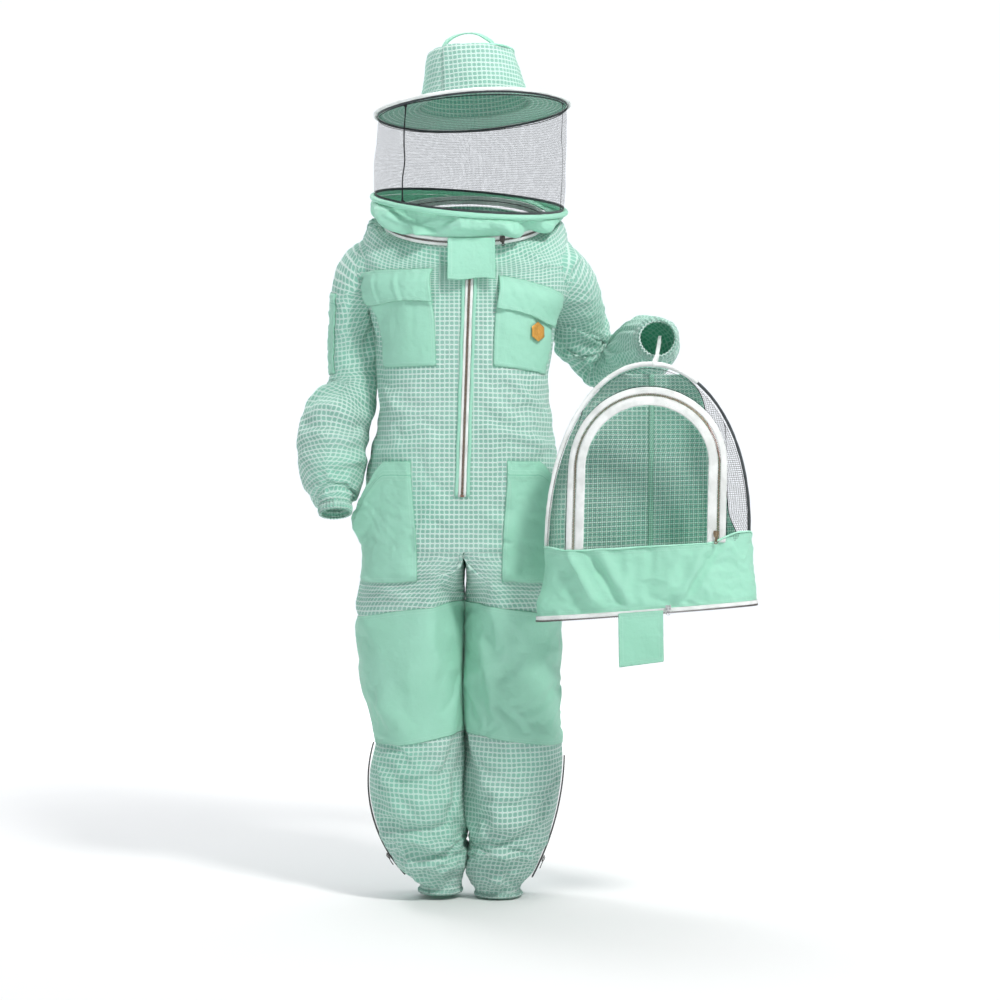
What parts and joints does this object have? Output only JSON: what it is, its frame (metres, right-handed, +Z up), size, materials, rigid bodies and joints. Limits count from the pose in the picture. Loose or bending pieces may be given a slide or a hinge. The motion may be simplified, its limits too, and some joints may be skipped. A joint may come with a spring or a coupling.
{
  "type": "beekeeping suit",
  "caption": "Ventilated one-piece beekeeping coverall standing as worn, with a zip-on round-hat veil and a spare fencing veil hung at the left cuff.",
  "frame": {"origin": "in the middle of the neck opening, where the suit lies on the wearer's shoulders, at the mount wearer", "axes": "+Z up, the front of the suit faces -Y, the wearer's left side is +X"},
  "size_m": [0.8301, 0.5053, 1.6238],
  "materials": {
    "ventilated_mesh": "three-layer ventilated mesh with a white grid",
    "poplin": "plain woven poplin, soft sheen",
    "veil_netting": "black tulle netting",
    "white_tape": "woven white zip tape and elastic",
    "dark_tape": "woven dark zip tape",
    "white_casing": "white webbing over a sprung hoop",
    "slider_metal": "antique brass",
    "emblem": "plain gold patch"
  },
  "bodies": {
    "coverall": {"torso_front_right": "ventilated_mesh", "torso_front_left": "ventilated_mesh", "torso_back": "ventilated_mesh", "waist_elastic": "white_tape", "front_zip_tape": "white_tape", "neck_zip_lower_tape": "white_tape", "chest_pocket_right": "poplin", "chest_pocket_left": "poplin", "emblem_patch": "emblem", "hip_pocket_right": "poplin", "hip_pocket_left": "poplin", "right_upper_sleeve": "ventilated_mesh", "right_elbow_sleeve": "ventilated_mesh", "sleeve_pocket": "poplin", "left_upper_sleeve": "ventilated_mesh", "left_elbow_sleeve": "ventilated_mesh", "right_thigh": "ventilated_mesh", "right_knee_patch": "poplin", "right_knee_back": "ventilated_mesh", "left_thigh": "ventilated_mesh", "left_knee_patch": "poplin", "left_knee_back": "ventilated_mesh"},
    "right_forearm": {"right_lower_sleeve": "ventilated_mesh", "right_wrist_cuff": "ventilated_mesh"},
    "left_forearm": {"left_lower_sleeve": "ventilated_mesh", "left_wrist_cuff": "ventilated_mesh", "left_thumb_loop": "white_tape"},
    "right_lower_leg": {"right_shin": "ventilated_mesh", "right_ankle_cuff": "ventilated_mesh", "right_leg_zip_tape": "dark_tape"},
    "left_lower_leg": {"left_shin": "ventilated_mesh", "left_ankle_cuff": "ventilated_mesh", "left_leg_zip_tape": "dark_tape"},
    "right_leg_slider": {"right_leg_zip_slider": "slider_metal"},
    "left_leg_slider": {"left_leg_zip_slider": "slider_metal"},
    "front_slider": {"front_zip_slider": "slider_metal"},
    "neck_slider": {"neck_zip_slider": "slider_metal"},
    "right_flap": {"right_chest_flap": "poplin"},
    "left_flap": {"left_chest_flap": "poplin"},
    "round_veil": {"collar_skirt": "poplin", "neck_zip_upper_tape": "white_tape", "neck_ring": "poplin", "veil_net": "veil_netting", "hat_brim": "ventilated_mesh", "brim_piping": "white_tape", "hat_crown": "ventilated_mesh", "hat_crown_top": "ventilated_mesh"},
    "throat": {"throat_flap": "poplin"},
    "hat_loop": {"hanging_loop": "poplin"},
    "spare_veil": {"spare_skirt": "poplin", "spare_hem_zip_tape": "white_tape", "spare_side_net": "veil_netting", "spare_back_panel": "ventilated_mesh", "spare_hoop": "white_casing", "window_zip_tape": "white_tape"},
    "window": {"spare_window_net": "veil_netting"},
    "window_slider": {"window_zip_slider": "slider_metal"},
    "spare_throat": {"spare_throat_flap": "poplin"},
    "hem_slider": {"spare_hem_zip_slider": "slider_metal"}
  },
  "joints": [
    {"name": "front_zip_travel", "type": "slide", "parent": "coverall", "child": "front_slider", "axis": [-0.0338, 0, -0.9994], "range_m": [0, 0.4]},
    {"name": "neck_zip_travel", "type": "hinge", "parent": "coverall", "child": "neck_slider", "pos_m": [0, 0.004, 0.011], "axis": [0, -0.3746, 0.9272], "range_deg": [0, 290]},
    {"name": "veil_fold_back", "type": "hinge", "parent": "coverall", "child": "round_veil", "pos_m": [0, 0.15, 0.078], "axis": [-1, 0, 0], "range_deg": [0, 90]},
    {"name": "throat_flap_lift", "type": "hinge", "parent": "round_veil", "child": "throat", "pos_m": [0.014, -0.149, -0.0285], "axis": [-1, 0, 0], "range_deg": [0, 85]},
    {"name": "hat_loop_fold", "type": "hinge", "parent": "round_veil", "child": "hat_loop", "pos_m": [0.00697, 0.00854, 0.34175], "axis": [0.998, 0.0014, 0.0628], "range_deg": [-32, 32]},
    {"name": "right_pocket_flap_lift", "type": "hinge", "parent": "coverall", "child": "right_flap", "pos_m": [-0.14499, -0.11794, -0.08101], "axis": [-0.8857, 0.4641, -0.011], "range_deg": [0, 110]},
    {"name": "left_pocket_flap_lift", "type": "hinge", "parent": "coverall", "child": "left_flap", "pos_m": [0.14835, -0.11643, -0.1106], "axis": [-0.8329, -0.5037, 0.2294], "range_deg": [0, 110]},
    {"name": "right_elbow_bend", "type": "hinge", "parent": "coverall", "child": "right_forearm", "pos_m": [-0.224, 0.014, -0.322], "axis": [-1, 0, 0], "range_deg": [0, 60], "deforming": ["right_elbow_sleeve"]},
    {"name": "left_elbow_bend", "type": "hinge", "parent": "coverall", "child": "left_forearm", "pos_m": [0.252, 0.12, -0.232], "axis": [-1, 0, 0], "range_deg": [0, 25], "deforming": ["left_elbow_sleeve"]},
    {"name": "right_knee_bend", "type": "hinge", "parent": "coverall", "child": "right_lower_leg", "pos_m": [-0.098, 0.002, -0.868], "axis": [1, 0, 0], "range_deg": [0, 80], "deforming": ["right_knee_patch", "right_knee_back"]},
    {"name": "left_knee_bend", "type": "hinge", "parent": "coverall", "child": "left_lower_leg", "pos_m": [0.091, 0.002, -0.868], "axis": [1, 0, 0], "range_deg": [0, 80], "deforming": ["left_knee_patch", "left_knee_back"]},
    {"name": "right_leg_zip_travel", "type": "hinge", "parent": "right_lower_leg", "child": "right_leg_slider", "pos_m": [0.076, 0.002, -1.032], "axis": [0, 1, 0], "range_deg": [0, 48]},
    {"name": "left_leg_zip_travel", "type": "hinge", "parent": "left_lower_leg", "child": "left_leg_slider", "pos_m": [-0.328, 0.002, -0.971], "axis": [0, -1, 0], "range_deg": [0, 19]},
    {"name": "spare_veil_swing", "type": "hinge", "parent": "left_forearm", "child": "spare_veil", "pos_m": [0.33338, -0.23106, -0.26207], "axis": [-0.9901, 0.1391, 0.0174], "range_deg": [-4, 30]},
    {"name": "window_fold_down", "type": "hinge", "parent": "spare_veil", "child": "window", "pos_m": [0.31798, -0.29988, -0.58702], "axis": [0.9887, -0.139, 0.0556], "range_deg": [0, 150]},
    {"name": "window_zip_travel", "type": "slide", "parent": "spare_veil", "child": "window_slider", "axis": [0.0308, 0.0942, 0.9951], "range_m": [0, 0.105]},
    {"name": "spare_flap_lift", "type": "hinge", "parent": "spare_veil", "child": "spare_throat", "pos_m": [0.3113, -0.3041, -0.6953], "axis": [-0.9871, 0.1387, -0.0799], "range_deg": [0, 55]},
    {"name": "hem_zip_travel", "type": "hinge", "parent": "spare_veil", "child": "hem_slider", "pos_m": [0.39389, 0.02198, -0.69737], "axis": [-0.0715, 0.01, 0.9974], "range_deg": [0, 16]}
  ]
}
